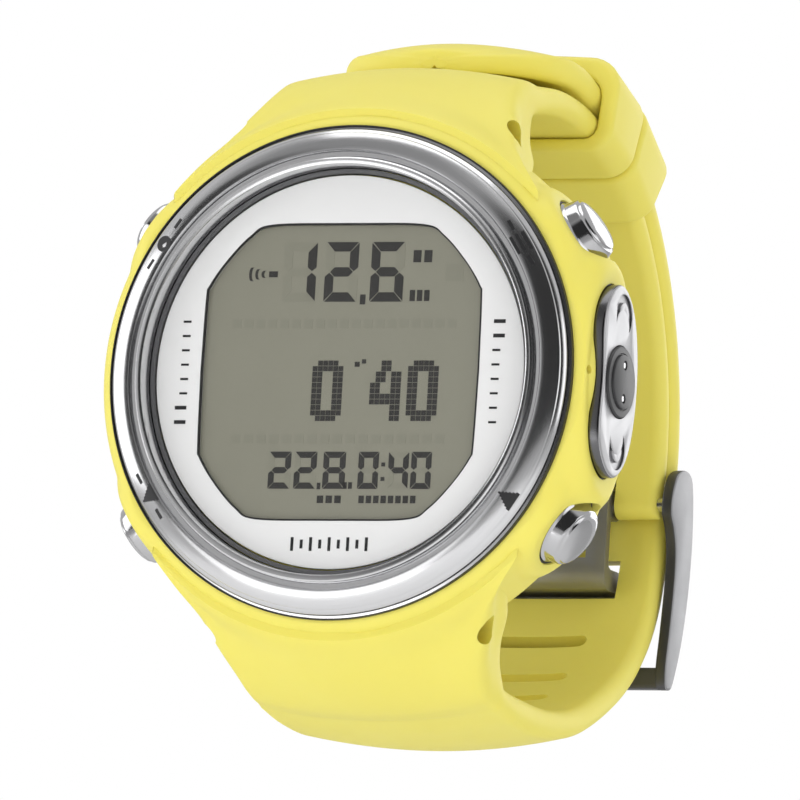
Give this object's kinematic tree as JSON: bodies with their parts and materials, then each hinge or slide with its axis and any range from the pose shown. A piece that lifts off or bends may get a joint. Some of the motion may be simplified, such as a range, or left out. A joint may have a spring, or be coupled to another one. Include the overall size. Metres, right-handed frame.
{
  "type": "dive computer",
  "caption": "Wrist dive computer: round sealed case with steel bezel, segment display, push buttons, side data contact and a closed soft strap with buckle and keepers.",
  "frame": {"origin": "centre of the flat outer face of the case back", "axes": "+Z towards 12 o'clock, +X towards 3 o'clock, +Y from the dial towards the wrist"},
  "size_m": [0.049, 0.0559, 0.0645],
  "materials": {
    "case_shell": "fine satin, moulded yellow",
    "strap_rubber": "soft satin, moulded yellow",
    "keeper_rubber": "soft satin, moulded yellow",
    "bezel_steel": "circular brushed with polished edges",
    "polished_steel": "polished",
    "pod_steel": "fine satin",
    "buckle_steel": "satin blasted",
    "back_steel": "circular brushed",
    "cover_black": "fine texture",
    "crystal_glass": "polished mineral glass",
    "dial_white": "printed white",
    "display": "grey-green segment display",
    "light_guide": "milky light guide",
    "board_green": "solder mask",
    "chip_black": "moulded package",
    "cell_steel": "plated can",
    "spring_brass": "plated spring metal",
    "contact_black": "fine satin",
    "seal_rubber": "greased seal"
  },
  "bodies": {
    "watch": {"case_body": "case_shell", "bezel_ring": "bezel_steel", "crystal": "crystal_glass", "crystal_gasket": "seal_rubber", "dial_mask": "dial_white", "lcd_panel": "display", "backlight": "light_guide", "circuit_board": "board_green", "board_chips": "chip_black", "battery": "cell_steel", "battery_contact": "spring_brass", "pressure_sensor": "cell_steel", "buzzer": "chip_black", "case_back": "back_steel", "case_back_gasket": "seal_rubber", "case_back_screws": "polished_steel", "battery_cover": "cover_black", "battery_cover_oring": "seal_rubber", "contact_plate": "pod_steel", "contact_disc": "contact_black", "contact_pins": "polished_steel", "lug_pin_upper": "polished_steel", "lug_pin_lower": "polished_steel", "strap_upper": "strap_rubber", "strap_lower": "strap_rubber", "keeper_fixed": "keeper_rubber", "buckle_pin": "polished_steel", "button_spring_mode": "spring_brass", "button_spring_up": "spring_brass", "button_spring_select": "spring_brass", "button_spring_down": "spring_brass"},
    "loose_keeper": {"keeper_free": "keeper_rubber"},
    "buckle": {"buckle_frame": "buckle_steel"},
    "tongue": {"buckle_tongue": "buckle_steel"},
    "mode_button": {"button_mode": "polished_steel", "button_seal_mode": "seal_rubber", "button_clip_mode": "polished_steel"},
    "up_button": {"button_up": "polished_steel", "button_seal_up": "seal_rubber", "button_clip_up": "polished_steel"},
    "select_button": {"button_select": "polished_steel", "button_seal_select": "seal_rubber", "button_clip_select": "polished_steel"},
    "down_button": {"button_down": "polished_steel", "button_seal_down": "seal_rubber", "button_clip_down": "polished_steel"}
  },
  "joints": [
    {"name": "press_mode", "type": "slide", "parent": "watch", "child": "mode_button", "axis": [-0.8339, 0, -0.5519], "range_m": [0, 0.0008], "stiffness_N_per_m": 2500, "springref_m": -0.0003},
    {"name": "press_up", "type": "slide", "parent": "watch", "child": "up_button", "axis": [-0.8339, 0, 0.5519], "range_m": [0, 0.0008], "stiffness_N_per_m": 2500, "springref_m": -0.0003},
    {"name": "press_select", "type": "slide", "parent": "watch", "child": "select_button", "axis": [0.8339, 0, -0.5519], "range_m": [0, 0.0008], "stiffness_N_per_m": 2500, "springref_m": -0.0003},
    {"name": "press_down", "type": "slide", "parent": "watch", "child": "down_button", "axis": [0.8339, 0, 0.5519], "range_m": [0, 0.0008], "stiffness_N_per_m": 2500, "springref_m": -0.0003},
    {"name": "keeper_slide", "type": "hinge", "parent": "watch", "child": "loose_keeper", "pos_m": [0, 0.0074, 0], "axis": [1, 0, 0], "range_deg": [0, 15]},
    {"name": "buckle_swing", "type": "hinge", "parent": "watch", "child": "buckle", "pos_m": [0, 0.03461, -0.0049], "axis": [1, 0, 0], "range_deg": [0, 3]},
    {"name": "tongue_swing", "type": "hinge", "parent": "buckle", "child": "tongue", "pos_m": [0, 0.03461, -0.0049], "axis": [1, 0, 0], "range_deg": [0, 6]}
  ]
}
